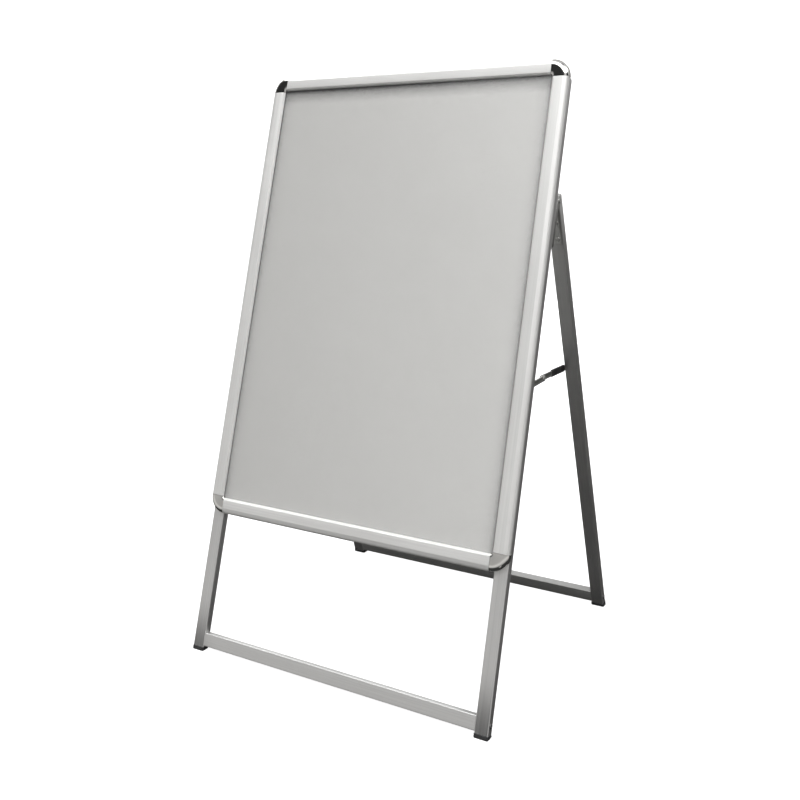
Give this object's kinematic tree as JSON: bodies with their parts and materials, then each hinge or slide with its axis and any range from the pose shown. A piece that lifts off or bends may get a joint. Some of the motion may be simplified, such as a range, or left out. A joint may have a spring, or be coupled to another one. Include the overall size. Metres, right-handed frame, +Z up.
{
  "type": "sandwich board",
  "caption": "Folding sandwich board with a snap-open poster frame on tube legs; the rear legs hinge behind the frame and two jointed stays hold them apart.",
  "frame": {"origin": "middle of the footprint of the four feet, at floor level", "axes": "+X to the right seen from the poster side, +Y towards the rear legs, +Z up"},
  "size_m": [0.64, 0.5902, 1.1081],
  "materials": {
    "rail_aluminium": "satin anodised",
    "corner_chrome": "polished",
    "front_leg_paint": "satin grey",
    "rear_leg_paint": "satin dark grey",
    "zinc_steel": "zinc plated",
    "spring_steel": "bare spring steel",
    "backing": "matt grey sheet",
    "poster": "blank paper",
    "clear_sheet": "clear anti-glare plastic",
    "grey_plastic": "moulded",
    "black_plastic": "moulded"
  },
  "bodies": {
    "front_panel": {"base_rail_bottom": "rail_aluminium", "base_rail_right": "rail_aluminium", "base_rail_top": "rail_aluminium", "base_rail_left": "rail_aluminium", "corner_bottom_right": "corner_chrome", "corner_bottom_left": "corner_chrome", "corner_top_right": "corner_chrome", "corner_top_left": "corner_chrome", "corner_keys": "zinc_steel", "corner_screws": "zinc_steel", "snap_springs": "spring_steel", "backing_panel": "backing", "poster_sheet": "poster", "clear_cover": "clear_sheet", "front_leg_right": "front_leg_paint", "front_leg_left": "front_leg_paint", "front_crossbar": "front_leg_paint", "frame_rivets": "zinc_steel", "foot_front_right": "black_plastic", "foot_front_left": "black_plastic", "top_plug_front_right": "grey_plastic", "top_plug_front_left": "grey_plastic", "front_crossbar_screws": "zinc_steel", "hinge_bracket_right": "zinc_steel", "hinge_bracket_left": "zinc_steel", "hinge_pin_right": "zinc_steel", "hinge_pin_left": "zinc_steel", "bracket_rivets": "zinc_steel", "stay_pivot_right": "zinc_steel", "stay_pivot_left": "zinc_steel"},
    "rear_stand": {"rear_leg_right": "rear_leg_paint", "rear_leg_left": "rear_leg_paint", "rear_crossbar": "rear_leg_paint", "foot_rear_right": "black_plastic", "foot_rear_left": "black_plastic", "top_plug_rear_right": "grey_plastic", "top_plug_rear_left": "grey_plastic", "rear_crossbar_screws": "zinc_steel", "hinge_leaf_right": "rear_leg_paint", "hinge_leaf_left": "rear_leg_paint", "leaf_rivets": "zinc_steel"},
    "cover_bottom": {"snap_cover_bottom": "rail_aluminium"},
    "cover_right": {"snap_cover_right": "rail_aluminium"},
    "cover_top": {"snap_cover_top": "rail_aluminium"},
    "cover_left": {"snap_cover_left": "rail_aluminium"},
    "front_link_right": {"stay_front_link_right": "zinc_steel", "stay_knee_rivet_right": "zinc_steel"},
    "front_link_left": {"stay_front_link_left": "zinc_steel", "stay_knee_rivet_left": "zinc_steel"},
    "rear_link_right": {"stay_rear_link_right": "zinc_steel", "stay_end_rivet_right": "zinc_steel", "stay_sleeve_right": "black_plastic"},
    "rear_link_left": {"stay_rear_link_left": "zinc_steel", "stay_end_rivet_left": "zinc_steel", "stay_sleeve_left": "black_plastic"}
  },
  "joints": [
    {"name": "rear_stand_fold", "type": "hinge", "parent": "front_panel", "child": "rear_stand", "pos_m": [0, -0.01167, 0.86313], "axis": [-1, 0, 0], "range_deg": [0, 34.6]},
    {"name": "cover_bottom_snap", "type": "hinge", "parent": "front_panel", "child": "cover_bottom", "pos_m": [0, -0.22228, 0.25955], "axis": [1, 0, 0], "range_deg": [0, 90]},
    {"name": "cover_right_snap", "type": "hinge", "parent": "front_panel", "child": "cover_right", "pos_m": [0.3176, -0.09627, 0.68227], "axis": [0, 0.2857, 0.9583], "range_deg": [0, 90]},
    {"name": "cover_top_snap", "type": "hinge", "parent": "front_panel", "child": "cover_top", "pos_m": [0, 0.02975, 1.10498], "axis": [-1, 0, 0], "range_deg": [0, 90]},
    {"name": "cover_left_snap", "type": "hinge", "parent": "front_panel", "child": "cover_left", "pos_m": [-0.3176, -0.09627, 0.68227], "axis": [0, -0.2857, -0.9583], "range_deg": [0, 90]},
    {"name": "stay_front_pivot_right", "type": "hinge", "parent": "front_panel", "child": "front_link_right", "pos_m": [0.29015, -0.12519, 0.5401], "axis": [1, 0, 0], "range_deg": [0, 63.95]},
    {"name": "stay_knee_right", "type": "hinge", "parent": "front_link_right", "child": "rear_link_right", "pos_m": [0.28585, -0.00786, 0.54478], "axis": [-1, 0, 0], "range_deg": [0, 160.92]},
    {"name": "stay_front_pivot_left", "type": "hinge", "parent": "front_panel", "child": "front_link_left", "pos_m": [-0.29015, -0.12519, 0.5401], "axis": [1, 0, 0], "range_deg": [0, 63.95]},
    {"name": "stay_knee_left", "type": "hinge", "parent": "front_link_left", "child": "rear_link_left", "pos_m": [-0.28585, -0.00786, 0.54478], "axis": [-1, 0, 0], "range_deg": [0, 160.92]}
  ],
  "couplings": [
    {"joint": "stay_front_pivot_right", "follows": "rear_stand_fold", "ratio": 1.848},
    {"joint": "stay_knee_right", "follows": "rear_stand_fold", "ratio": 4.6507},
    {"joint": "stay_front_pivot_left", "follows": "rear_stand_fold", "ratio": 1.848},
    {"joint": "stay_knee_left", "follows": "rear_stand_fold", "ratio": 4.6507}
  ]
}
